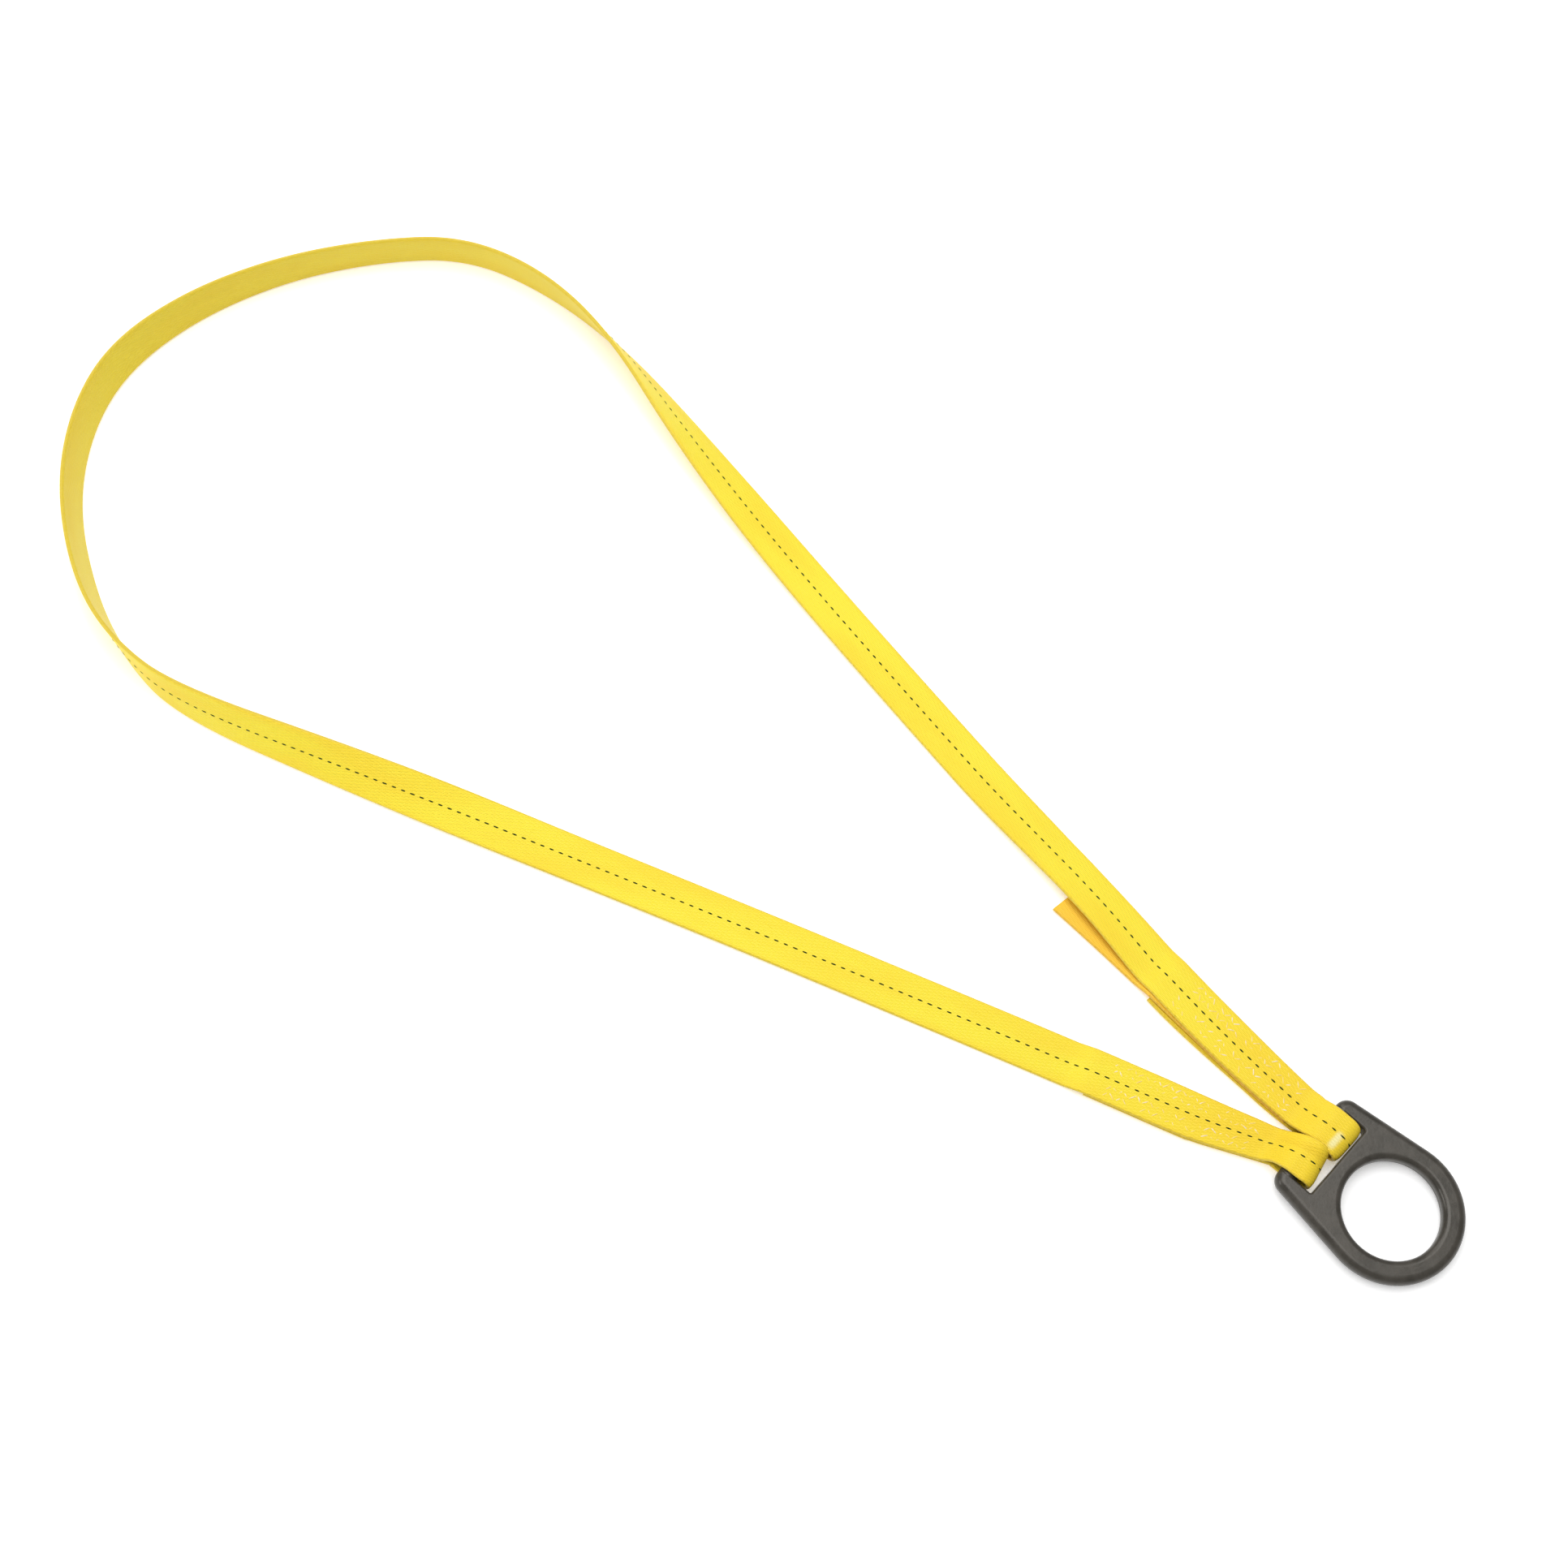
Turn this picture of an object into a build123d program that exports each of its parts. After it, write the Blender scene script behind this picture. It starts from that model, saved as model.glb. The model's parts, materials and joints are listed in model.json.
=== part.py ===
"""Web anchor strap: one long webbing band whose two ends are sewn round the bar of a forged D-ring.

All sizes are in millimetres. X runs along the strap, with the D-ring at its +X end. Z is up, and the
strap lies on the plane Z = 0. The origin is the bottom centre of the whole strap's box.
"""

from build123d import *

import os
from math import asin, atan2, ceil, cos, degrees, hypot, pi, radians, sin, tan

# --- Webbing
WEB_WIDTH = 25.4
WEB_THICKNESS = 2.4
PLY_GAP = 0.05  # between two plies that are sewn together
TAIL_LENGTH = 116.0  # from the eye's bend to the cut end under the leg
THROAT_LENGTH = 19.0  # from the bar to where the plies lie flat on each other
RAMP_LENGTH = 13.0  # over which a ply comes down past the cut end of the ply below it

# --- Wear strip, between the two plies of the upper leg
STRIP_LENGTH = 160.0
STRIP_START = 24.5  # from the eye's bend
STRIP_DRIFT = 7.5  # how far its loose end has slid out from under the leg
STRIP_DRIFT_START = 70.0

# --- Forged D-ring
RING_THICKNESS = 9.5
EYE_RADIUS = 25.4
RIM_WIDTH = 11.8
BAR_DIAMETER = 9.5
BAR_TO_EYE = 48.6  # from the bar's axis to the eye's centre
SLOT_GAP = 9.5  # between the bar and the hub
SLOT_LENGTH = 44.5
CHEEK_WIDTH = 8.75  # each side of the slot, where the bar joins the body
SHOULDER_RADIUS = 7.0
SLOT_CORNER_RADIUS = 1.2
RIM_FILLET = 4.2
EYE_FILLET = 3.4
SLOT_FILLET = 1.4

# --- Fits
SLOT_END_CLEARANCE = 0.65  # between the webbing and each end of the slot
EYE_GAP = 0.8  # between the two ends of the webbing on the bar
BAR_CLEARANCE = 0.3  # between the bar and the webbing eye round it
HUB_CLEARANCE = 0.5  # between the webbing's bend and the hub

# --- Thread
THREAD_DIAMETER = 0.8
THREAD_RISE = 0.45  # how far a stitch stands above the webbing
STITCH_PITCH = 3.4
STITCH_SWING = 1.5  # each side of a zigzag row's line
STITCH_ROWS = (-8.6, -4.4, 4.4, 8.6)  # across the leg, from its centre
STITCH_START = 27.0  # from the eye's bend
STITCH_LENGTH = 80.0

# --- The band's lie
# Centre line of the band from the upper eye, round the loop, to the lower eye, as x and y from the middle
# of the ring's bar. The third value is the band's roll in degrees: 0 lies flat with its outer face up, 90
# stands on edge with its outer face outwards.
LOOP_ROUTE = [
    (-50.5, 11.0, 0),
    (-166.5, 25.5, 0),
    (-321.5, 48.0, 0),
    (-431.5, 65.5, 4),
    (-516.5, 80.5, 30),
    (-601.0, 98.5, 70),
    (-662.5, 99.0, 86),
    (-715.5, 83.0, 83),
    (-752.0, 45.0, 82),
    (-783.5, -4.0, 86),
    (-802.5, -58.0, 94),
    (-805.5, -111.0, 102),
    (-788.0, -154.0, 101),
    (-752.0, -194.0, 100),
    (-698.5, -225.0, 103),
    (-653.5, -236.5, 93),
    (-606.5, -235.0, 73),
    (-511.0, -197.5, 43),
    (-420.5, -161.0, 6),
    (-290.5, -112.5, 0),
    (-131.5, -55.5, 0),
    (-49.5, -27.5, 0),
]
LOWER_STRAIGHT = 11.5  # the lower leg leaves square to the bar for this far behind it
SPREAD_RATE = 9.05  # how far the webbing runs for each millimetre that it widens, behind the bar
FILLET_SHARE = 0.45  # of the shorter run that a bend of the route takes up
SECTION_STEP = 12.0  # between cross-sections where the band bends or rolls
THROAT_STEP = 2.5  # between cross-sections where the plies come together
BEND_SECTIONS = 10  # in the half turn round the bar
TINY = 0.05
CUT_PAST = 1.0  # how far a cut runs past the face that it opens

# --- Worked out from the above
bar_radius = BAR_DIAMETER / 2
ply_step = WEB_THICKNESS + PLY_GAP
bar_height = WEB_THICKNESS + BAR_CLEARANCE + bar_radius
bend_radius = bar_radius + BAR_CLEARANCE + WEB_THICKNESS / 2  # of the webbing's middle
slot_edge = bar_radius + SLOT_GAP  # the hub's edge, from the bar's axis
eye_slack = slot_edge - HUB_CLEARANCE - bend_radius - WEB_THICKNESS / 2  # from the bar to the bends' centre
eye_web_width = (SLOT_LENGTH - 2 * SLOT_END_CLEARANCE - EYE_GAP) / 2  # both ends share the slot
eye_offset = (eye_web_width + EYE_GAP) / 2  # of each end's middle along the bar
rim_radius = EYE_RADIUS + RIM_WIDTH
strip_end = STRIP_START + STRIP_LENGTH
throat_end = eye_slack + SPREAD_RATE * (WEB_WIDTH - eye_web_width)  # where it has its full width again
ring_reach = BAR_TO_EYE + rim_radius - RIM_FILLET  # from the bar's axis to where the rim touches the floor
ring_tip = degrees(asin((bar_height - RING_THICKNESS / 2) / ring_reach))


def ease(along, start, end, low, high):
    """A value that goes smoothly from low to high while along goes from start to end."""
    share = min(max((along - start) / (end - start), 0.0), 1.0)
    return low + (high - low) * share * share * (3 - 2 * share)


# --- The band's route

points = [
    (eye_slack, eye_offset, 0),
    *LOOP_ROUTE,
    (-LOWER_STRAIGHT, -eye_offset, 0),
    (eye_slack, -eye_offset, 0),
]


def route_radii():
    """A bend's radius at each inner point: it takes up FILLET_SHARE of the shorter run."""
    radii = []
    for (x0, y0, _), (x1, y1, _), (x2, y2, _) in zip(points, points[1:], points[2:]):
        shorter = min(hypot(x1 - x0, y1 - y0), hypot(x2 - x1, y2 - y1))
        turn = atan2(y2 - y1, x2 - x1) - atan2(y1 - y0, x1 - x0)
        turn = abs((turn + pi) % (2 * pi) - pi)
        radii.append(FILLET_SHARE * shorter / tan(turn / 2))
    return radii


radii = route_radii()
route = FilletPolyline([(x, y) for x, y, _ in points], radius=radii)
route_length = route.length


def roll_stations():
    """(distance along the route, roll) at each point of the route."""
    reached = [0.0]
    for (x0, y0, _), (x1, y1, _) in zip(points, points[1:]):
        reached.append(reached[-1] + hypot(x1 - x0, y1 - y0))
    return [(r / reached[-1] * route_length, p[2]) for r, p in zip(reached, points)]


stations = roll_stations()


def roll_at(along):
    """The band's roll in degrees, straight from one station to the next."""
    for (start, low), (end, high) in zip(stations, stations[1:]):
        if along <= end:
            return low + (high - low) * (along - start) / (end - start)
    return stations[-1][1]


def ramp_down(along, cut_end):
    """How far a ply has come down past the cut end of the ply below it."""
    start = cut_end + PLY_GAP
    return ease(along, start, start + RAMP_LENGTH, 0, ply_step)


def outer_base(along, plies_below):
    """Height of a leg's outer ply above the floor, from over the bar down to the plies below it."""
    over_bar = bar_height + bar_radius + BAR_CLEARANCE
    return ease(along, eye_slack, eye_slack + THROAT_LENGTH, over_bar, plies_below * ply_step)


def upper_base(along):
    """Height of the upper leg's outer ply, which lies on the tail and the wear strip."""
    return outer_base(along, 2) - ramp_down(along, TAIL_LENGTH) - ramp_down(along, strip_end)


def lower_base(along):
    """Height of the lower leg's outer ply, which lies on the tail."""
    return outer_base(along, 1) - ramp_down(along, TAIL_LENGTH)


def strip_base(along):
    """Height of the wear strip's underside, which lies on the tail."""
    return ply_step - ramp_down(along, TAIL_LENGTH)


def web_width(along):
    """The webbing is bunched in the slot and spreads to its full width behind the bar."""
    from_eye = min(along, route_length - along)
    return ease(from_eye, eye_slack, throat_end, eye_web_width, WEB_WIDTH)


def section(centre, along, across, width):
    """The band's rectangular cross-section."""
    return Plane(origin=centre, x_dir=across, z_dir=along) * Rectangle(width, WEB_THICKNESS)


def place_at(distance):
    """The route's place at a distance, the way forward and the way across, towards the loop's inside.

    Next to the bar the band lies square to the bar, and further out it turns square to its leg.
    """
    place = route.position_at(distance, position_mode=PositionMode.LENGTH)
    forward = route.tangent_at(distance, position_mode=PositionMode.LENGTH)
    side = 1 if distance < route_length / 2 else -1
    from_eye = min(distance, route_length - distance)
    free = ease(from_eye, eye_slack, eye_slack + THROAT_LENGTH, 0, 1)
    forward = (forward * free + Vector(-side, 0, 0) * (1 - free)).normalized()
    return place, forward, Vector(0, 0, 1).cross(forward)


def outer_section(distance, base):
    """The long band's cross-section at a distance along the route, its lowest edge at height base."""
    place, forward, inwards = place_at(distance)
    roll = radians(roll_at(distance))
    width = web_width(distance)
    across = inwards * cos(roll) + Vector(0, 0, sin(roll))
    rise = base + width / 2 * sin(roll) + WEB_THICKNESS / 2 * abs(cos(roll))
    return section(place + Vector(0, 0, rise), forward, across, width)


def tail_section(distance):
    """A tail's cross-section on the floor, where the band has turned over and runs back under the leg."""
    place, forward, inwards = place_at(distance)
    return section(place + Vector(0, 0, WEB_THICKNESS / 2), -forward, inwards, web_width(distance))


def bend_sections(side):
    """The half turn round the bar: upwards at the upper end (side 1), downwards at the lower (side -1)."""
    centre = Vector(eye_slack, side * eye_offset, bar_height)
    made = []
    for i in range(1, BEND_SECTIONS):
        angle = side * pi * (i / BEND_SECTIONS - 0.5)
        out = Vector(cos(angle), 0, sin(angle))
        along = Vector(-sin(angle), 0, cos(angle)) * side
        made.append(section(centre + out * bend_radius, along, Vector(0, -side, 0), eye_web_width))
    return made


def spread(start, end, step):
    """Distances from start to end, evenly spaced at no more than step."""
    count = ceil((end - start) / step)
    return [start + (end - start) * i / count for i in range(count + 1)]


# --- Pieces


def sewn_places():
    """Distances from an eye's bend to where the leg lies on the floor, closest where the plies slope."""
    tail_ramp = TAIL_LENGTH + PLY_GAP
    strip_ramp = strip_end + PLY_GAP
    places = spread(0, throat_end, THROAT_STEP)
    places += spread(throat_end, tail_ramp, SECTION_STEP)[1:]
    places += spread(tail_ramp, tail_ramp + RAMP_LENGTH, THROAT_STEP)[1:]
    places += spread(tail_ramp + RAMP_LENGTH, strip_ramp, SECTION_STEP)[1:]
    return places + spread(strip_ramp, strip_ramp + RAMP_LENGTH, THROAT_STEP)[1:]


def make_strap_web():
    """The whole band: tail, bend, upper leg, loop, lower leg, bend, tail."""
    near = sewn_places()
    loop = spread(near[-1], route_length - near[-1], SECTION_STEP)[1:-1]
    tail_places = [d for d in near if d < TAIL_LENGTH] + [TAIL_LENGTH]
    sections = [tail_section(d) for d in reversed(tail_places)]
    sections += bend_sections(1)
    sections += [outer_section(d, upper_base(d)) for d in near]
    sections += [outer_section(d, 0) for d in loop]
    sections += [outer_section(route_length - d, lower_base(d)) for d in reversed(near)]
    sections += bend_sections(-1)
    sections += [tail_section(route_length - d) for d in tail_places]
    return loft(sections, ruled=True, clean=False)


def make_wear_strip():
    """A second length of webbing between the upper leg's plies, its loose end slid out to one side."""
    sections = []
    inner_places = [d for d in sewn_places() if STRIP_START < d < strip_end]
    for distance in [STRIP_START, *inner_places, strip_end]:
        place, forward, inwards = place_at(distance)
        slid = max(0, distance - STRIP_DRIFT_START) / (strip_end - STRIP_DRIFT_START)
        rise = Vector(0, 0, strip_base(distance) + WEB_THICKNESS / 2)
        centre = place + inwards * (slid * STRIP_DRIFT) + rise
        sections.append(section(centre, forward, inwards, web_width(distance)))
    return loft(sections, ruled=True, clean=False)


def stitch_row(side, offset, top):
    """One zigzag row of thread: floats on the leg's face, and the thread down through each hole."""
    holes = []
    for i, distance in enumerate(spread(STITCH_START, STITCH_START + STITCH_LENGTH, STITCH_PITCH)):
        place, _, inwards = place_at(distance if side == 1 else route_length - distance)
        swing = STITCH_SWING if i % 2 else -STITCH_SWING
        holes.append(place + inwards * (offset + swing))
    upright = (Align.CENTER, Align.CENTER, Align.MIN)
    thread = []
    for hole in holes:
        post = Cylinder(THREAD_DIAMETER / 2, top + THREAD_RISE - THREAD_DIAMETER, align=upright)
        thread.append(Pos(hole.X, hole.Y, THREAD_DIAMETER) * post)
    for start, end in zip(holes, holes[1:]):
        middle = (start + end) / 2
        reach = end - start
        stitch = Box(reach.length, THREAD_DIAMETER, THREAD_RISE, align=upright)
        turned = Rot(0, 0, degrees(atan2(reach.Y, reach.X))) * stitch
        thread.append(Pos(middle.X, middle.Y, top) * turned)
    return thread[0] + thread[1:]


def make_stitching(side):
    """The sewn pattern of one leg: a zigzag row of thread for each of STITCH_ROWS."""
    plies_below = 2 if side == 1 else 1
    top = plies_below * ply_step + WEB_THICKNESS
    rows = [stitch_row(side, offset, top) for offset in STITCH_ROWS]
    return Compound([solid for row in rows for solid in row.solids()])


def make_d_ring():
    """The forging: a round bar, a slot, and a hub that widens into the rim round the eye.

    It is made flat about the bar's axis, then tipped until its round end rests on the floor.
    """
    half_thickness = RING_THICKNESS / 2
    half_slot = SLOT_LENGTH / 2
    shoulder_x = SHOULDER_RADIUS - bar_radius
    shoulder_y = half_slot + CHEEK_WIDTH - SHOULDER_RADIUS
    rounds = [
        Pos(BAR_TO_EYE, 0) * Circle(rim_radius),
        Pos(shoulder_x, shoulder_y) * Circle(SHOULDER_RADIUS),
        Pos(shoulder_x, -shoulder_y) * Circle(SHOULDER_RADIUS),
    ]
    outline = make_hull([edge for one in rounds for edge in one.edges()])
    body = extrude(outline, amount=half_thickness, both=True)

    def on_faces(edge):
        return abs(abs(edge.center().Z) - half_thickness) < TINY

    body = fillet(body.edges().filter_by(on_faces), RIM_FILLET)
    body -= Pos(BAR_TO_EYE, 0, 0) * Cylinder(EYE_RADIUS, RING_THICKNESS)
    eye_edges = body.edges().filter_by(GeomType.CIRCLE).filter_by(lambda e: abs(e.radius - EYE_RADIUS) < TINY)
    body = fillet(eye_edges, EYE_FILLET)

    outside = -bar_radius - CUT_PAST
    window = Box(slot_edge - outside, SLOT_LENGTH, RING_THICKNESS)
    window = Pos((slot_edge + outside) / 2, 0, 0) * window
    inner_corners = window.edges().filter_by(Axis.Z).sort_by(Axis.X)[-2:]
    body -= fillet(inner_corners, SLOT_CORNER_RADIUS)
    slot_edges = body.edges().filter_by(on_faces)
    slot_edges = slot_edges.filter_by(lambda e: e.center().X < slot_edge + TINY)
    slot_edges = slot_edges.filter_by(lambda e: abs(e.center().Y) < half_slot + TINY)
    body = fillet(slot_edges, SLOT_FILLET)
    body += Rot(90, 0, 0) * Cylinder(bar_radius, SLOT_LENGTH + 2 * SLOT_FILLET + 2 * TINY)
    return Pos(0, 0, bar_height) * Rot(0, ring_tip, 0) * body


made = {
    "d_ring": make_d_ring(),
    "strap_web": make_strap_web(),
    "wear_strip": make_wear_strip(),
    "stitching_upper": make_stitching(1),
    "stitching_lower": make_stitching(-1),
}

# The origin goes to the bottom centre of the whole strap's box.
whole = Compound([solid for piece in made.values() for solid in piece.solids()]).bounding_box()
to_origin = Pos(-whole.center().X, -whole.center().Y, 0)

os.makedirs("parts", exist_ok=True)
for name, piece in made.items():
    export_step(Compound(piece.solids()).moved(to_origin), f"parts/{name}.step")

print("bend radii", [round(radius, 1) for radius in radii])
print("route length", round(route_length, 1))
print("bar axis x", round(-whole.center().X, 3), "y", round(-whole.center().Y, 3), "z", round(bar_height, 3))
print("ring tip, degrees", round(ring_tip, 3))
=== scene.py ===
"""Web anchor strap with a forged D-ring: its webbing, thread and finishes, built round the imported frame.

Lengths are in metres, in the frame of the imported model: X runs along the strap to the D-ring, Z is up,
and the strap lies on Z = 0. The band is followed from the upper eye, round the loop, to the lower eye.
Its outer face is the one with the tracer yarn, and "inwards" is towards the loop's inside. A share runs
across a ply, from -1 at its outer edge to 1 at its inner edge.
"""

import json
import random
from bisect import bisect_right
from math import cos, pi, radians, sin

import bpy
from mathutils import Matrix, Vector, noise


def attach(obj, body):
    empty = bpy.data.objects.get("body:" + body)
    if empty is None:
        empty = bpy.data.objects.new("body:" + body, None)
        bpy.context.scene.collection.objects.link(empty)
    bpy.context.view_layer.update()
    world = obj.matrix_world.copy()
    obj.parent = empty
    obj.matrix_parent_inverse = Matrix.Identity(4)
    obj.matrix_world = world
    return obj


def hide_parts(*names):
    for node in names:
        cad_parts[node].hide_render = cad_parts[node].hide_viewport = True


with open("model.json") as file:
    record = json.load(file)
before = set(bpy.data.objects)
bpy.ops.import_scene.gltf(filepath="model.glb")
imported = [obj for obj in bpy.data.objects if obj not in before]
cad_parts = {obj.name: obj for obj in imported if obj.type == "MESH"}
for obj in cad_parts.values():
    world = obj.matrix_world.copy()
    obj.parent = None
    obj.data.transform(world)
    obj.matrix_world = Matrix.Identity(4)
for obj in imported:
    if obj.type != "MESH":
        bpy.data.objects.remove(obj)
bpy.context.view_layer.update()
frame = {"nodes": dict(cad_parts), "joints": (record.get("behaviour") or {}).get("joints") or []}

# --- Webbing
WEB_WIDTH = 0.0254
WEB_THICKNESS = 0.0024
PLY_STEP = 0.00245
TAIL_LENGTH = 0.116  # from the eye's bend to the cut end under the leg
THROAT_LENGTH = 0.019  # behind the bar, to where the plies lie on each other
RAMP_LENGTH = 0.013  # over which a ply comes down past the cut end of the ply below it
BEND_RADIUS = 0.00625  # of the webbing's middle, round the bar
BAR_RADIUS = 0.00475
BAR_CLEARANCE = 0.0003
EYE_WIDTH = 0.0226  # the webbing is bunched in the ring's slot
TAIL_EYE_WIDTH = 0.0212
FULL_WIDTH_AT = 0.085  # from the eye's bend
UPPER_EDGE_PULL = 0.0014  # how much tighter the webbing's edges turn than its middle, round the bar
LOWER_EDGE_PULL = 0.0002  # the same, for the lower eye's inner edge
EDGE_PULL_POWER = 5  # the higher, the nearer to the edges the pull stays
CHEEK_ROOM = 0.0217  # how far along the bar a ply may reach, clear of the ring's cheeks
CHEEK_SWEEP = 0.0102  # how far behind the bar's middle the swinging cheeks reach
CHEEK_FLARE = 0.50  # how much the room widens for each unit of length further back
CHEEK_SOFTNESS = 0.0015  # over which a ply starts to give way
CROSSING_SHARES = (0.30, 0.85)  # across the lower leg, where it rises onto the upper eye
CROSSING_END = (0.004, 0.022)  # behind the bar, where it comes down again
BOBBIN_RISE = 0.00025  # the lowest ply lies on its bobbin thread
TAIL_DRIFT = 0.0030  # how far the upper tail's cut end stands out from under its leg, inwards

# --- The unsewn length's slight unevenness
WAVE_START = (0.20, 0.35)  # from the eye's bend, where it comes in
WAVE_HEIGHT = 0.0004
WAVE_RATE = 9  # along the band, for each metre
WAVE_PHASE = 3.1
WAVE_ROLL = 1.6  # degrees
WAVE_ROLL_RATE = 7
WAVE_ROLL_PHASE = 8.4

# --- Wear strip, between the two plies of the upper leg
STRIP_LENGTH = 0.160
STRIP_START = 0.0245
STRIP_DRIFT = 0.0075  # how far its loose end has slid out from under the leg
STRIP_DRIFT_START = 0.070
STRIP_DRIFT_CURVE = 1.7  # above 1, it slides more and more towards its end
STRIP_TILT = 12  # degrees, the leg's roll where it rides on the strip that has slid out
STRIP_TILT_FULL = 0.010  # before the strip's loose end
STRIP_TILT_FALL = 0.090  # over which the leg lies flat again past the strip
STRIP_ASIDE = 0.0014  # how far the rolled leg has moved outwards

# --- Thread
THREAD_RADIUS = 0.00034
STITCH_PITCH = 0.0034
STITCH_SWING = 0.0015  # each side of a zigzag row's line
STITCH_SCATTER = 0.0006  # of its holes
STITCH_ROWS = (-0.0086, -0.0044, 0.0044, 0.0086)  # across the leg, from its centre
STITCH_START = 0.027
STITCH_LENGTH = 0.080
STITCH_ARCH = 2.2  # thread radii, how far a stitch comes down to its holes
STITCH_SUNK = (-0.1, 1.2)  # thread radii, how deep it lies in the webbing
STITCH_END = 0.75  # of its radius, at its holes
STITCH_POINTS = 7
BOBBIN_POINTS = 5

# --- Weave
FLOAT_PITCH = 0.00547  # of a warp yarn's floats along the band
YARN_PITCH = 0.00088  # of the warp yarns across the band
WEAVE_DEPTH = 0.00020
SELVEDGE_RIBS = (0.0016, 0.0006)  # from the band's edge, where its ribs begin and are full
FIBRE_SCALES = (400, 9000, 1)  # of the fibres' pattern along, across and through the band
PATCH_SCALES = (14, 60, 1)  # of the uneven dye's pattern
TRACER_LENGTH = 0.0033
TRACER_WIDTH = 0.00100
TRACER_RISE = 0.00012  # how deep its axis lies in the webbing
TRACER_HEIGHT = 3  # of its half section, in rises
TRACER_UNEVEN = (0.9, 1.08)  # lengths of its floats
TRACER_WANDER = 0.00008
TRACER_POINTS = 7
TRACER_BLUNTNESS = (0.12, 0.6)  # its section at its ends, and the power of its swelling between them

# The band's control points, as x and y from the middle of the ring's bar, and its roll in degrees:
# 0 lies flat with the outer face up, 90 stands on edge with the outer face outwards.
ROUTE = [
    (0.0063, 0.0106, 0),
    (-0.0505, 0.0110, 0),
    (-0.1665, 0.0255, 0),
    (-0.3215, 0.0480, 0),
    (-0.4315, 0.0655, 4),
    (-0.5165, 0.0805, 30),
    (-0.6010, 0.0985, 70),
    (-0.6625, 0.0990, 86),
    (-0.7155, 0.0830, 83),
    (-0.7520, 0.0450, 82),
    (-0.7835, -0.0040, 86),
    (-0.8025, -0.0580, 94),
    (-0.8055, -0.1110, 102),
    (-0.7880, -0.1540, 101),
    (-0.7520, -0.1940, 100),
    (-0.6985, -0.2250, 103),
    (-0.6535, -0.2365, 93),
    (-0.6065, -0.2350, 73),
    (-0.5110, -0.1975, 43),
    (-0.4205, -0.1610, 6),
    (-0.2905, -0.1125, 0),
    (-0.1315, -0.0555, 0),
    (-0.0495, -0.0280, 0),
    (-0.0115, -0.0140, 0),
    (0.0034, -0.0109, 0),
]
ROUTE_RESOLUTION = 48

# --- Colours: the webbing's outer face; its uneven dye and painted shade in hollows, near selvedges and near the eyes; painted shade on its inner face and selvedges; the wear strip's painted shade; a painted highlight; then the other materials
BODY_YELLOW = (0.98, 0.82, 0.036)
# a golden tone for the uneven dye, and painted shade in the hollows, near the selvedges and near the eyes
GOLDEN_DYE_AND_SHADE = (0.97, 0.63, 0.024)
# painted shade on the inner face
INNER_FACE_SHADE_YELLOW = (0.66, 0.50, 0.018)
# painted shade on the selvedges' sides
SELVEDGE_SHADE_YELLOW = (0.68, 0.50, 0.05)
# the wear strip is the yellow webbing, coloured orange as painted shade
STRIP_SHADE_ORANGE = (1.00, 0.64, 0.045)
STRIP_DYE_AND_DEEPER_SHADE = (0.98, 0.53, 0.030)
STRIP_SELVEDGE_SHADE_ORANGE = (0.70, 0.43, 0.05)
# a painted highlight over the bar
PAINTED_HIGHLIGHT_YELLOW = (0.98, 0.93, 0.50)
DYED_THREAD = (0.96, 0.72, 0.18)
PALE_THREAD = (0.97, 0.84, 0.62)
DARK_OLIVE = (0.010, 0.026, 0.002)
OLIVE = (0.045, 0.070, 0.004)
DARK_STEEL = (0.046, 0.041, 0.032)
WARM_STEEL = (0.072, 0.064, 0.052)
SCALE_MARKS = (0.034, 0.028, 0.021)
FLOOR_TONES = ((0.94, 0.94, 0.94), (0.96, 0.96, 0.96))

# --- A painted highlight on the webbing where it turns over the bar
HIGHLIGHT_ALONG = (0.0004, 0.0028)  # from the bend, where it is full and where it ends
HIGHLIGHT_ACROSS = (0.0030, 0.0075)  # from its own middle line
HIGHLIGHT_ASIDE = 0.0045  # that line, inwards of the band's middle
HIGHLIGHT_RAGGED_ALONG = 0.0012
HIGHLIGHT_RAGGED_ACROSS = 0.006

# --- Meshing
LEG_STEP = 0.0025
NEAR_STEP = 0.0012
NEAR_LENGTH = 0.060  # of each leg, from its eye's bend
BEND_STEP = 0.0006
POINTS_ACROSS = 25
SELVEDGE_POINTS = 5
YARN_SIDES = 8
SLOPE_STEP = 0.0004  # along a surface, to the points that give its ways
SLOPE_SHARE = 0.02  # across it

hinge = frame["joints"][0]
bar = Vector(hinge["pos_m"])
over_bar = bar.z + BAR_RADIUS + BAR_CLEARANCE
bend_length = pi * BEND_RADIUS
strip_end = STRIP_START + STRIP_LENGTH
chance = random.Random(11)


def ease(value, start, end, low, high):
    """Goes smoothly from low to high while value goes from start to end."""
    share = min(max((value - start) / (end - start), 0.0), 1.0)
    return low + (high - low) * share * share * (3 - 2 * share)


# --- Camera, floor and light

CAMERA_FROM_BAR = Vector((0.0056, -0.3960, 1.1026))
CAMERA_TILT = 24  # degrees from straight down
CAMERA_TURN = 43.5
CAMERA_LENS = 51.06  # millimetres, like the sensor's width
CAMERA_SENSOR = 36
FLOOR_REACH = 30.0
FLOOR_DROP = 0.0001  # keeps the floor clear of the webbing's underside
FLOOR_GLOW = 0.30
SKY_LIGHT = 0.40  # the sky's strength as a light
SKY_SEEN = 0.95  # and as the backdrop
LIGHTS = (  # name, place, target, size and watts
    ("overhead", (-0.2, 0.3, 2.2), (-0.1, 0, 0), 1.8, 33),
    ("loop side", (-1.5, 0.9, 1.5), (-0.2, 0, 0), 0.6, 6),
    ("lower side", (-1.3, -1.9, 1.3), (-0.4, -0.2, 0), 0.9, 14),
)


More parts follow.
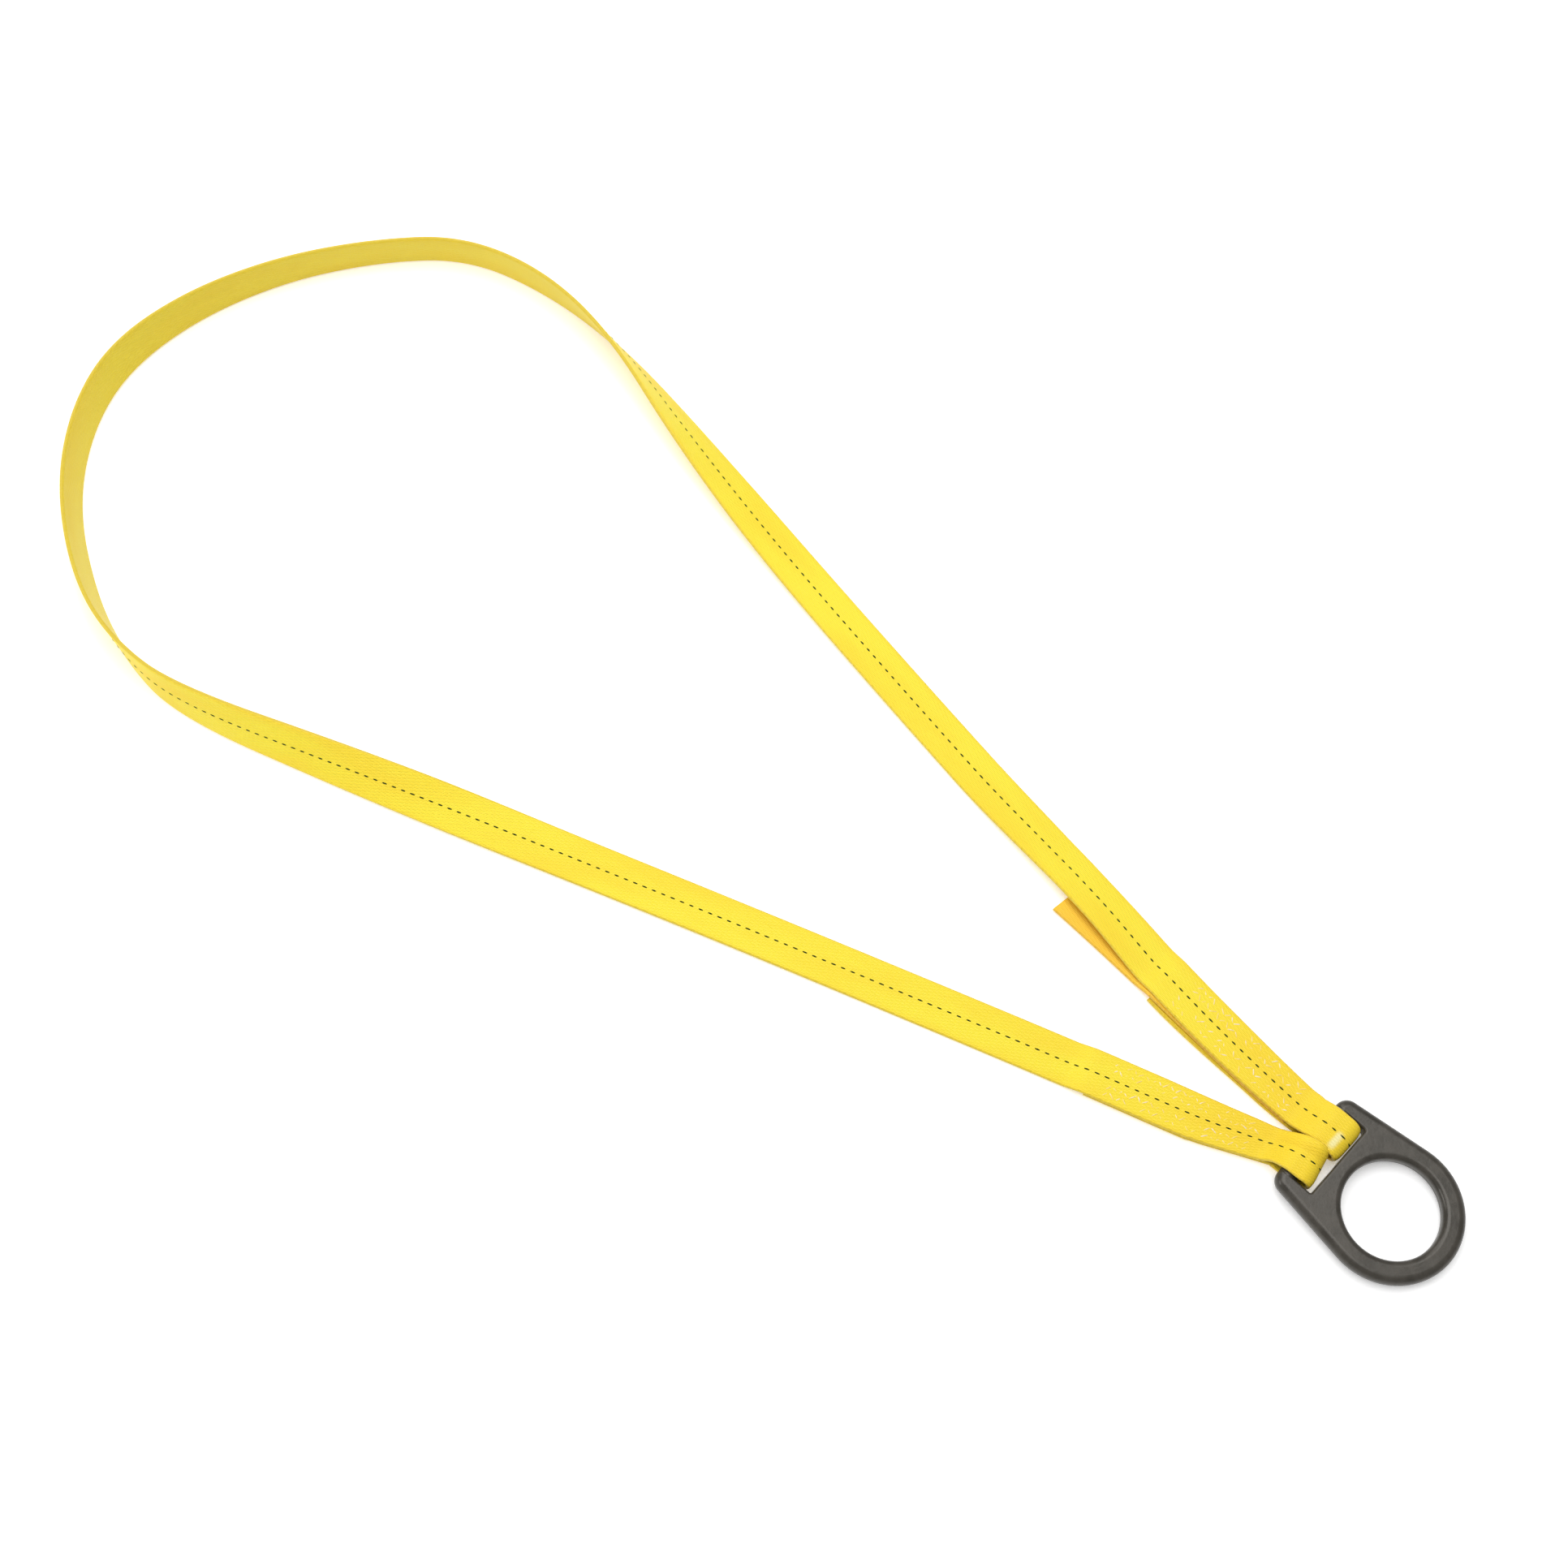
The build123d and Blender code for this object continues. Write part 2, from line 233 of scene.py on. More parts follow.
def make_camera():
    """Looks down at 66 degrees, from beside the lower leg."""
    data = bpy.data.cameras.new("camera")
    data.lens = CAMERA_LENS
    data.sensor_width = CAMERA_SENSOR
    data.clip_start = 0.01
    camera = bpy.data.objects.new("camera", data)
    camera.location = bar + CAMERA_FROM_BAR
    camera.rotation_euler = (radians(CAMERA_TILT), 0, radians(CAMERA_TURN))
    bpy.context.collection.objects.link(camera)
    bpy.context.scene.camera = camera


def make_light(name, place, target, size, watts):
    """A soft square light that faces its target."""
    data = bpy.data.lights.new(name, "AREA")
    data.size = size
    data.energy = watts
    light = bpy.data.objects.new(name, data)
    light.location = place
    light.rotation_euler = (Vector(target) - Vector(place)).to_track_quat("-Z", "Y").to_euler()
    bpy.context.collection.objects.link(light)


def make_stage():
    """A pale floor under a white sky, a wide light overhead and a smaller one on each side."""
    mesh = bpy.data.meshes.new("floor")
    signs = ((-1, -1), (1, -1), (1, 1), (-1, 1))
    corners = [(x * FLOOR_REACH, y * FLOOR_REACH, 0) for x, y in signs]
    mesh.from_pydata(corners, [], [(0, 1, 2, 3)])
    floor = bpy.data.objects.new("floor", mesh)
    bpy.context.collection.objects.link(floor)
    floor.location.z = -FLOOR_DROP
    mesh.materials.append(floor_finish())

    world = bpy.data.worlds.new("studio")
    bpy.context.scene.world = world
    world.use_nodes = True
    sky = world.node_tree.nodes["Background"]
    sky.inputs["Color"].default_value = (1.0, 1.0, 1.0, 1)
    seen = world.node_tree.nodes.new("ShaderNodeLightPath").outputs["Is Camera Ray"]
    strength = maths(world.node_tree, "MULTIPLY_ADD", seen, SKY_SEEN - SKY_LIGHT, SKY_LIGHT)
    world.node_tree.links.new(strength, sky.inputs["Strength"])
    for light in LIGHTS:
        make_light(*light)
    bpy.context.scene.view_settings.view_transform = "Standard"


# --- The route and the surfaces that follow it


def smooth_line(places):
    """Points along a smooth spline that has these control points."""
    curve = bpy.data.curves.new("route", "CURVE")
    curve.dimensions = "3D"
    curve.resolution_u = ROUTE_RESOLUTION
    spline = curve.splines.new("NURBS")
    spline.points.add(len(places) - 1)
    for point, place in zip(spline.points, places):
        point.co = (*place, 1)
    spline.order_u = 3
    spline.use_endpoint_u = True
    holder = bpy.data.objects.new("route", curve)
    mesh = bpy.data.meshes.new_from_object(holder)
    made = [v.co.copy() for v in mesh.vertices]
    bpy.data.objects.remove(holder)
    bpy.data.curves.remove(curve)
    bpy.data.meshes.remove(mesh)
    return made


line = smooth_line([(bar.x + x, bar.y + y, 0) for x, y, _ in ROUTE])
rolls = [p.y for p in smooth_line([(i, radians(roll), 0) for i, (*_, roll) in enumerate(ROUTE)])]
reached = [0.0]
for start, end in zip(line, line[1:]):
    reached.append(reached[-1] + (end - start).length)
band_length = reached[-1]
ways = [(b - a).normalized() for a, b in zip([line[0]] + line[:-1], line[1:] + [line[-1]])]


def route_at(distance):
    """The route's place, its way forward, the way inwards and the band's roll at a distance along it."""
    i = min(max(bisect_right(reached, distance), 1), len(reached) - 1)
    share = (distance - reached[i - 1]) / (reached[i] - reached[i - 1])
    place = line[i - 1].lerp(line[i], share)
    forward = ways[i - 1].lerp(ways[i], share).normalized()
    roll = rolls[i - 1] + (rolls[i] - rolls[i - 1]) * share
    return place, forward, Vector((-forward.y, forward.x, 0)), roll


def ramp_down(distance, cut_end):
    """How far a ply has come down past the cut end of the ply below it."""
    return ease(distance, cut_end, cut_end + RAMP_LENGTH, 0, PLY_STEP)


def strip_slide(distance):
    """How far the wear strip has slid inwards at a distance from the eye's bend."""
    slid = max(0, distance - STRIP_DRIFT_START) / (strip_end - STRIP_DRIFT_START)
    return STRIP_DRIFT * slid**STRIP_DRIFT_CURVE


def strip_tilt(distance):
    """The upper leg's roll where the slid strip holds up only its inner side."""
    rising = ease(distance, TAIL_LENGTH, strip_end - STRIP_TILT_FULL, 0, radians(STRIP_TILT))
    return rising - ease(distance, strip_end, strip_end + STRIP_TILT_FALL, 0, radians(STRIP_TILT))


def leg_width(distance):
    """The leg is bunched in the slot and spreads to its full width behind the bar."""
    return ease(distance, BEND_RADIUS, FULL_WIDTH_AT, EYE_WIDTH, WEB_WIDTH)


def tail_width(distance):
    """The tail is bunched a little more and spreads sooner."""
    return ease(distance, BEND_RADIUS, FULL_WIDTH_AT / 2, TAIL_EYE_WIDTH, WEB_WIDTH)


def off_centre(width):
    """A bunched ply keeps its outer edge at the end of the slot, so its middle is off the route."""
    return max(0, (EYE_WIDTH - width) / 2)


def clear_of_cheek(point, middle, inwards, width):
    """Bunches a ply's outer side up beside the bar, so that the swinging ring's cheek passes it."""
    half = inwards * (width / 2)
    inner_edge = middle + half
    outer_edge = middle - half
    side = 1 if outer_edge.y > bar.y else -1
    inner, outer, here = (side * (p.y - bar.y) for p in (inner_edge, outer_edge, point))
    behind = max(0, bar.x - outer_edge.x - CHEEK_SWEEP)
    excess = outer - (CHEEK_ROOM + CHEEK_FLARE * behind)
    if abs(excess) < CHEEK_SOFTNESS:
        excess = (excess + CHEEK_SOFTNESS) ** 2 / (4 * CHEEK_SOFTNESS)
    squeeze = (outer - max(0, excess) - inner) / (outer - inner)
    point.y = bar.y + side * (inner + (here - inner) * squeeze)
    return point


def crossing_lift(point, share):
    """The lower leg's inner edge rides over the upper eye's edge, next to the bar."""
    across = ease(share, *CROSSING_SHARES, 0, PLY_STEP)
    return across * ease(bar.x - point.x, *CROSSING_END, 1, 0)


def leg_point(along, share):
    """A point of the leg's or loop's middle surface."""
    place, _, inwards, roll = route_at(along)
    upper = along < band_length / 2
    from_eye = min(along, band_length - along)
    if upper:
        tilt = strip_tilt(from_eye)
        level = 2 * PLY_STEP - ramp_down(from_eye, TAIL_LENGTH)
        level = max(0, level - strip_slide(min(from_eye, strip_end)) * sin(tilt))
        level = ease(from_eye, strip_end, strip_end + 2 * RAMP_LENGTH, level, 0)
        roll += tilt
    else:
        level = PLY_STEP - ramp_down(from_eye, TAIL_LENGTH)
    level += BOBBIN_RISE * ease(from_eye, TAIL_LENGTH, strip_end, 1, 0)
    free = ease(from_eye, *WAVE_START, 0, 1)
    level += free * WAVE_HEIGHT * (1 + noise.noise(Vector((along * WAVE_RATE, WAVE_PHASE, 0))))
    unrest = noise.noise(Vector((along * WAVE_ROLL_RATE, 0, WAVE_ROLL_PHASE)))
    roll += free * radians(WAVE_ROLL) * unrest * cos(roll)
    width = leg_width(from_eye)
    reach = share * width / 2
    aside = STRIP_ASIDE * strip_tilt(from_eye) / radians(STRIP_TILT) if upper else 0
    point = place + inwards * (reach * cos(roll) - aside)
    base = ease(bar.x - point.x, 0, THROAT_LENGTH, over_bar, level)
    rise = WEB_THICKNESS / 2 * abs(cos(roll)) + width / 2 * abs(sin(roll))
    point.z = base + rise + reach * sin(roll)
    if not upper:
        point.z += crossing_lift(point, share)
    return clear_of_cheek(point, place, inwards, width) if from_eye < NEAR_LENGTH else point


def tail_point(distance, share, upper):
    """A point of a tail's middle surface, under its leg."""
    place, _, inwards, _ = route_at(distance if upper else band_length - distance)
    width = tail_width(distance)
    drift = ease(distance, TAIL_LENGTH / 3, TAIL_LENGTH, 0, TAIL_DRIFT) if upper else 0
    point = place + inwards * (share * width / 2 - off_centre(width) + drift)
    point.z = WEB_THICKNESS / 2 + BOBBIN_RISE
    middle = place - inwards * off_centre(width)
    return clear_of_cheek(point, middle, inwards, width) if distance < NEAR_LENGTH else point


def bend_point(turned, share, upper):
    """A point of the half turn round the bar, turned from 0 at the top to pi at the bottom."""
    place, forward, inwards, _ = route_at(0 if upper else band_length)
    outwards = -forward if upper else forward
    width = ease(turned, 0, pi, EYE_WIDTH, TAIL_EYE_WIDTH)
    top = leg_point(0 if upper else band_length, share).z
    bottom = WEB_THICKNESS / 2 + BOBBIN_RISE
    pull = UPPER_EDGE_PULL if upper or share < 0 else LOWER_EDGE_PULL
    reach = BEND_RADIUS - pull * abs(share) ** EDGE_PULL_POWER
    point = place + inwards * (share * width / 2 - off_centre(width))
    point += outwards * (reach * sin(turned))
    point.z = (top + bottom) / 2 + (top - bottom) / 2 * cos(turned)
    return clear_of_cheek(point, place - inwards * off_centre(width), inwards, width)


def band_point(along, share):
    """A point of the band's middle surface: along from the upper eye, share from -1 to 1 inwards."""
    if 0 <= along <= band_length:
        return leg_point(along, share)
    upper = along < 0
    back = -along if upper else along - band_length
    if back < bend_length:
        return bend_point(back / BEND_RADIUS, share, upper)
    return tail_point(back - bend_length, share, upper)


def strip_point(distance, share):
    """A point of the wear strip's middle surface."""
    place, _, inwards, _ = route_at(distance)
    width = leg_width(distance)
    point = place + inwards * (share * width / 2 + strip_slide(distance))
    point.z = PLY_STEP + BOBBIN_RISE - ramp_down(distance, TAIL_LENGTH) + WEB_THICKNESS / 2
    return point


def spread(start, end, step):
    """Evenly spaced values from start to end."""
    count = max(1, round(abs(end - start) / step))
    return [start + (end - start) * i / count for i in range(count + 1)]


# --- Meshes


def add_object(name, vertices, faces, finish):
    """A mesh object of the strap that takes its finish from a slot."""
    mesh = bpy.data.meshes.new(name)
    mesh.from_pydata(vertices, [], faces)
    mesh.polygons.foreach_set("use_smooth", [True] * len(mesh.polygons))
    mesh.materials.append(finish)
    piece = bpy.data.objects.new(name, mesh)
    bpy.context.collection.objects.link(piece)
    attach(piece, "strap")
    return piece


def surface_at(middle, along, share):
    """A band's middle point, and its ways across and out of the outer face."""
    point = middle(along, share)
    forward = (middle(along + SLOPE_STEP, share) - middle(along - SLOPE_STEP, share)).normalized()
    inner = middle(along, min(share + SLOPE_SHARE, 1))
    outer = middle(along, max(share - SLOPE_SHARE, -1))
    across = (inner - outer).normalized()
    return point, across, forward.cross(across).normalized()


def webbing_profile():
    """The webbing's section, as (share across, further out, up)."""
    radius = WEB_THICKNESS / 2
    edge = 1 - WEB_THICKNESS / WEB_WIDTH
    flat = [edge * (2 * i / (POINTS_ACROSS - 1) - 1) for i in range(POINTS_ACROSS)]
    turns = [pi * (i + 1) / (SELVEDGE_POINTS + 1) for i in range(SELVEDGE_POINTS)]
    profile = [(share, 0, radius) for share in flat]
    profile += [(edge, radius * sin(turn), radius * cos(turn)) for turn in turns]
    profile += [(share, 0, -radius) for share in reversed(flat)]
    return profile + [(-edge, -radius * sin(turn), -radius * cos(turn)) for turn in turns]


def webbing(name, middle, stations, finish):
    """A closed length of webbing with round selvedges that follows its middle surface.

    Its "weave" attribute holds each point's place in the weave: along, across, and up from -1 on the
    inner face to 1 on the outer.
    """
    profile = webbing_profile()
    shares = sorted({share for share, _, _ in profile})
    vertices = []
    places = []
    for along in stations:
        grid = {share: surface_at(middle, along, share) for share in shares}
        for share, out, up in profile:
            point, across, normal = grid[share]
            vertices.append(point + across * out + normal * up)
            places.append((along, share * WEB_WIDTH / 2 + out, up * 2 / WEB_THICKNESS))
    count = len(profile)
    faces = []
    for row in range(len(stations) - 1):
        here, there = row * count, (row + 1) * count
        for i in range(count):
            j = (i + 1) % count
            faces.append((here + i, here + j, there + j, there + i))
    faces += cut_end(0, flip=False) + cut_end((len(stations) - 1) * count, flip=True)
    piece = add_object(name, vertices, faces, finish)
    field = piece.data.attributes.new("weave", "FLOAT_VECTOR", "POINT")
    field.data.foreach_set("vector", [number for place in places for number in place])
    end_faces = 2 * (POINTS_ACROSS + 1)
    for polygon in piece.data.polygons[-end_faces:]:
        polygon.use_smooth = False
    return piece


def cut_end(first, flip):
    """The faces of a square cut end whose ring of vertices starts at first."""
    bottom = 2 * POINTS_ACROSS + SELVEDGE_POINTS - 1
    faces = []
    for i in range(POINTS_ACROSS - 1):
        faces.append((first + i, first + bottom - i, first + bottom - i - 1, first + i + 1))
    right = [first + POINTS_ACROSS - 1 + i for i in range(SELVEDGE_POINTS + 2)]
    left = [first + bottom + i for i in range(SELVEDGE_POINTS + 1)] + [first]
    faces += [tuple(reversed(right)), tuple(reversed(left))]
    return [tuple(reversed(face)) for face in faces] if flip else faces


def band_stations():
    """Places along the band, closest round the bar and next to it."""
    tail = spread(-bend_length - TAIL_LENGTH, -bend_length, LEG_STEP)
    bend = spread(-bend_length, 0, BEND_STEP)
    near = spread(0, NEAR_LENGTH, NEAR_STEP)
    half = tail[:-1] + bend[:-1] + near[:-1]
    loop = spread(NEAR_LENGTH, band_length - NEAR_LENGTH, LEG_STEP)
    return half + loop + [band_length - place for place in reversed(half)]


def add_yarn(vertices, faces, sections):
    """Adds a closed yarn through sections, each its middle and its half widths sideways and upwards."""
    first = len(vertices)
    for middle, side, up in sections:
        for k in range(YARN_SIDES):
            turn = 2 * pi * k / YARN_SIDES
            vertices.append(middle + side * cos(turn) + up * sin(turn))
    last = len(vertices) - YARN_SIDES
    for a in range(first, last, YARN_SIDES):
        b = a + YARN_SIDES
        for k in range(YARN_SIDES):
            beside = (k + 1) % YARN_SIDES
            faces.append((a + k, a + beside, b + beside, b + k))
    faces.append(tuple(first + k for k in reversed(range(YARN_SIDES))))
    faces.append(tuple(last + k for k in range(YARN_SIDES)))


def tracer(finish):
    """The dark yarn's floats down the middle of the outer face."""
    vertices = []
    faces = []
    thinnest, power = TRACER_BLUNTNESS
    first = -bend_length - TAIL_LENGTH + FLOAT_PITCH / 2
    for along in spread(first, band_length - first, FLOAT_PITCH):
        length = TRACER_LENGTH * chance.uniform(*TRACER_UNEVEN)
        share = chance.uniform(-TRACER_WANDER, TRACER_WANDER)
        sections = []
        for part in spread(0, 1, 1 / (TRACER_POINTS - 1)):
            swell = max(thinnest, sin(pi * part) ** power)
            place = along + (part - 0.5) * length
            point, across, normal = surface_at(band_point, place, share)
            middle = point + normal * (WEB_THICKNESS / 2 - TRACER_RISE)
            side = across * (swell * TRACER_WIDTH / 2)
            sections.append((middle, side, normal * (swell * TRACER_HEIGHT * TRACER_RISE)))
        add_yarn(vertices, faces, sections)
    return add_object("tracer_yarn", vertices, faces, finish)


def add_thread(vertices, faces, points):
    """Adds a length of thread along these points, thinner at its ends."""
    sections = []
    last = len(points) - 1
    for i, point in enumerate(points):
        way = (points[min(i + 1, last)] - points[max(i - 1, 0)]).normalized()
        side = Vector((0, 0, 1)).cross(way).normalized()
        radius = THREAD_RADIUS * (STITCH_END if i in (0, last) else 1)
        sections.append((point, side * radius, way.cross(side) * radius))
    add_yarn(vertices, faces, sections)


def between_holes(start, end, count):
    """Evenly spaced places from hole to hole, as (part of the way, distance, share)."""
    for part in spread(0, 1, 1 / (count - 1)):
        yield part, start[0] + (end[0] - start[0]) * part, start[1] + (end[1] - start[1]) * part


def top_stitch(start, end, upper, sunk):
    """The points of a stitch that arches over the leg's outer face."""
    points = []
    for part, distance, share in between_holes(start, end, STITCH_POINTS):
        along = distance if upper else band_length - distance
        point, _, normal = surface_at(band_point, along, share)
        arch = (sin(pi * part) ** 0.5 - 1) * STITCH_ARCH * THREAD_RADIUS
        points.append(point + normal * (WEB_THICKNESS / 2 - sunk + arch))
    return points


def bobbin_stitch(start, end, upper):
    """The points of the bobbin thread's stitch, under the tail."""
    points = []
    for part, distance, share in between_holes(start, end, BOBBIN_POINTS):
        point = tail_point(distance, share, upper)
        point.z = THREAD_RADIUS + (1 - sin(pi * part)) * THREAD_RADIUS
        points.append(point)
    return points


def stitching(name, upper, finish):
    """One leg's zigzag rows of stitches, above and below."""
    vertices = []
    faces = []
    holes_along = spread(STITCH_START, STITCH_START + STITCH_LENGTH, STITCH_PITCH)
    for row in STITCH_ROWS:
        holes = []
        for i, distance in enumerate(holes_along):
            swing = STITCH_SWING if i % 2 else -STITCH_SWING
            share = (row + swing + chance.uniform(-1, 1) * STITCH_SCATTER) * 2 / WEB_WIDTH
            holes.append((distance + chance.uniform(-1, 1) * STITCH_SCATTER, share))
        for start, end in zip(holes, holes[1:]):
            sunk = chance.uniform(*STITCH_SUNK) * THREAD_RADIUS
            add_thread(vertices, faces, top_stitch(start, end, upper, sunk))
            add_thread(vertices, faces, bobbin_stitch(start, end, upper))
    return add_object(name, vertices, faces, finish)


# --- Finishes


def new_finish(name):
    """A material with its shader, ready for nodes."""
    finish = bpy.data.materials.new(name)
    finish.use_nodes = True
    return finish, finish.node_tree, finish.node_tree.nodes["Principled BSDF"]


def maths(tree, operation, first, second=None, third=None):
    """A maths node on numbers or sockets; gives its result."""
    node = tree.nodes.new("ShaderNodeMath")
    node.operation = operation
    for socket, value in zip(node.inputs, (first, second, third)):
        if isinstance(value, bpy.types.NodeSocket):
            tree.links.new(value, socket)
        elif value is not None:
            socket.default_value = value
    return node.outputs[0]


def mixed(tree, share, first, second):
    """A colour between two others, each a socket or (r, g, b)."""
    node = tree.nodes.new("ShaderNodeMix")
    node.data_type = "RGBA"
    factor, colour_a, colour_b = node.inputs[0], node.inputs[6], node.inputs[7]
    for socket, value in ((factor, share), (colour_a, first), (colour_b, second)):
        if isinstance(value, bpy.types.NodeSocket):
            tree.links.new(value, socket)
        else:
            socket.default_value = (*value, 1) if isinstance(value, tuple) else value
    return node.outputs[2]


def noise_at(tree, vector, scale, detail=2.0, roughness=0.5):
    """A noise pattern's value, from 0 to 1."""
    node = tree.nodes.new("ShaderNodeTexNoise")
    node.inputs["Scale"].default_value = scale
    node.inputs["Detail"].default_value = detail
    node.inputs["Roughness"].default_value = roughness
    tree.links.new(vector, node.inputs["Vector"])
    return node.outputs["Fac"]


def between(tree, value, low, high, to_low=0.0, to_high=1.0):
    """A value taken from one range to another, smoothly and clamped."""
    node = tree.nodes.new("ShaderNodeMapRange")
    node.interpolation_type = "SMOOTHSTEP"
    tree.links.new(value, node.inputs["Value"])
    node.inputs["From Min"].default_value = low
    node.inputs["From Max"].default_value = high
    node.inputs["To Min"].default_value = to_low
    node.inputs["To Max"].default_value = to_high
    return node.outputs["Result"]


def bumped(tree, shader, height, distance):
    """Gives the shader a bump from a height socket."""
    node = tree.nodes.new("ShaderNodeBump")
    node.inputs["Strength"].default_value = 1.0
    node.inputs["Distance"].default_value = distance
    tree.links.new(height, node.inputs["Height"])
    tree.links.new(node.outputs["Normal"], shader.inputs["Normal"])


def floor_finish():
    """Pale, matt and very slightly uneven."""
    finish, tree, shader = new_finish("floor")
    place = tree.nodes.new("ShaderNodeTexCoord").outputs["Object"]
    grain = noise_at(tree, place, 3.0)
    tree.links.new(mixed(tree, grain, *FLOOR_TONES), shader.inputs["Base Color"])
    shader.inputs["Roughness"].default_value = 0.9
    shader.inputs["Specular IOR Level"].default_value = 0.1
    shader.inputs["Emission Color"].default_value = (1, 1, 1, 1)
    shader.inputs["Emission Strength"].default_value = FLOOR_GLOW
    return finish


def stretched(tree, vector, scales):
    """A place multiplied along each axis, for patterns that are long one way."""
    node = tree.nodes.new("ShaderNodeVectorMath")
    node.operation = "MULTIPLY"
    tree.links.new(vector, node.inputs[0])
    node.inputs[1].default_value = scales
    return node.outputs[0]


def weave_height(tree, along, across, fibres):
    """The woven face's height: staggered floats of the warp yarns, fibres, and ribs on the selvedges."""
    column = maths(tree, "DIVIDE", across, YARN_PITCH)
    number = maths(tree, "FLOOR", maths(tree, "ADD", column, 0.5))
    beside = maths(tree, "SUBTRACT", column, number)
    stagger = maths(tree, "MULTIPLY", maths(tree, "FLOORED_MODULO", number, 2.0), 0.5)
    phase = maths(tree, "ADD", maths(tree, "DIVIDE", along, FLOAT_PITCH), stagger)
    wave = maths(tree, "COSINE", maths(tree, "MULTIPLY", phase, 2 * pi))
    hollow = maths(tree, "MULTIPLY", maths(tree, "POWER", beside, 2.0), 4.0)
    crown = maths(tree, "SUBTRACT", 1.0, hollow)
    float_height = maths(tree, "MULTIPLY_ADD", between(tree, wave, -0.9, 0.7), 0.8, 0.2)
    height = maths(tree, "MULTIPLY", crown, float_height)
    height = maths(tree, "ADD", height, maths(tree, "MULTIPLY", fibres, 0.25))

    picks = maths(tree, "SINE", maths(tree, "MULTIPLY", along, 4 * pi / FLOAT_PITCH))
    begin, full = (WEB_WIDTH / 2 - from_edge for from_edge in SELVEDGE_RIBS)
    at_edge = between(tree, maths(tree, "ABSOLUTE", across), begin, full)
    ribs = maths(tree, "MULTIPLY", maths(tree, "MULTIPLY", picks, at_edge), 0.3)
    return maths(tree, "ADD", height, ribs)


def painted_highlight_place(tree, along, across, fibres, patches):
    """Where a highlight is painted pale on the outer face over the bar, with ragged edges."""
    start = maths(tree, "SUBTRACT", along, HIGHLIGHT_RAGGED_ALONG / 2)
    ragged_along = maths(tree, "MULTIPLY_ADD", fibres, HIGHLIGHT_RAGGED_ALONG, start)
    over_bend = between(tree, maths(tree, "ABSOLUTE", ragged_along), *HIGHLIGHT_ALONG, 0.8, 0.0)
    start = maths(tree, "SUBTRACT", across, HIGHLIGHT_RAGGED_ACROSS / 2)
    ragged_across = maths(tree, "MULTIPLY_ADD", patches, HIGHLIGHT_RAGGED_ACROSS, start)
    aside = maths(tree, "ABSOLUTE", maths(tree, "SUBTRACT", ragged_across, HIGHLIGHT_ASIDE))
    highlight_share = maths(tree, "MULTIPLY", over_bend, between(tree, aside, *HIGHLIGHT_ACROSS, 1.0, 0.0))
    return maths(tree, "MULTIPLY", highlight_share, between(tree, fibres, 0.20, 0.50, 0.4, 1.0))


def webbing_finish(name, body, deep, inside, edge):
    """Woven polyester with a soft sheen, from its outer face's colour to its selvedges' painted shade,
    with painted shade in the weave's hollows, near the selvedges, near the eyes and on the inner face, and
    a painted highlight over the bar.
    """
    finish, tree, shader = new_finish(name)
    field = tree.nodes.new("ShaderNodeAttribute")
    field.attribute_name = "weave"
    split = tree.nodes.new("ShaderNodeSeparateXYZ")
    tree.links.new(field.outputs["Vector"], split.inputs[0])
    along, across, face = split.outputs
    fibres = noise_at(tree, stretched(tree, field.outputs["Vector"], FIBRE_SCALES), 1.0)
    patches = noise_at(tree, stretched(tree, field.outputs["Vector"], PATCH_SCALES), 1.0, 3.0)
    height = weave_height(tree, along, across, fibres)
    bumped(tree, shader, height, WEAVE_DEPTH)

    from_middle = maths(tree, "ABSOLUTE", across)
    from_eye = maths(tree, "MINIMUM", along, maths(tree, "SUBTRACT", band_length, along))
    sewn_end = TAIL_LENGTH + RAMP_LENGTH
    # where the selvedges turn, which get painted shade
    turned = between(tree, maths(tree, "ABSOLUTE", face), 0.55, 0.98, 0.75, 0.0)
    layers = (
        (between(tree, patches, 0.35, 0.75, 0.0, 0.45), deep),
        # painted shade in the weave's hollows
        (between(tree, height, 0.10, 0.75, 0.26, 0.0), deep),
        # painted shade towards the selvedges
        (between(tree, from_middle, WEB_WIDTH * 0.40, WEB_WIDTH / 2, 0.0, 0.35), deep),
        # painted shade along the sewn length near each eye
        (between(tree, from_eye, STITCH_START, sewn_end, 0.5, 0.0), deep),
        # a painted highlight over the bar
        (painted_highlight_place(tree, along, across, fibres, patches), PAINTED_HIGHLIGHT_YELLOW),
        # painted shade on the inner face
        (between(tree, face, -0.9, -0.5, 0.55, 0.0), inside),
        # painted shade on the selvedges' sides
        (turned, edge),
    )
    colour = body
    for share, layer in layers:
        colour = mixed(tree, share, colour, layer)
    tree.links.new(colour, shader.inputs["Base Color"])
    tree.links.new(between(tree, patches, 0.3, 0.8, 0.42, 0.52), shader.inputs["Roughness"])
    shader.inputs["Sheen Weight"].default_value = 0.04
    shader.inputs["Sheen Roughness"].default_value = 0.4
    shader.inputs["Specular IOR Level"].default_value = 0.35
    return finish


def thread_finish():
    """Twisted bonded thread, with some stitches dyed by the webbing."""
    finish, tree, shader = new_finish("thread")
    place = tree.nodes.new("ShaderNodeTexCoord").outputs["Object"]
    tone = between(tree, noise_at(tree, place, 300.0), 0.42, 0.68)
    tree.links.new(mixed(tree, tone, DYED_THREAD, PALE_THREAD), shader.inputs["Base Color"])
    bumped(tree, shader, noise_at(tree, place, 3000.0), 0.0001)
    shader.inputs["Roughness"].default_value = 0.4
    shader.inputs["Sheen Weight"].default_value = 0.2
    return finish


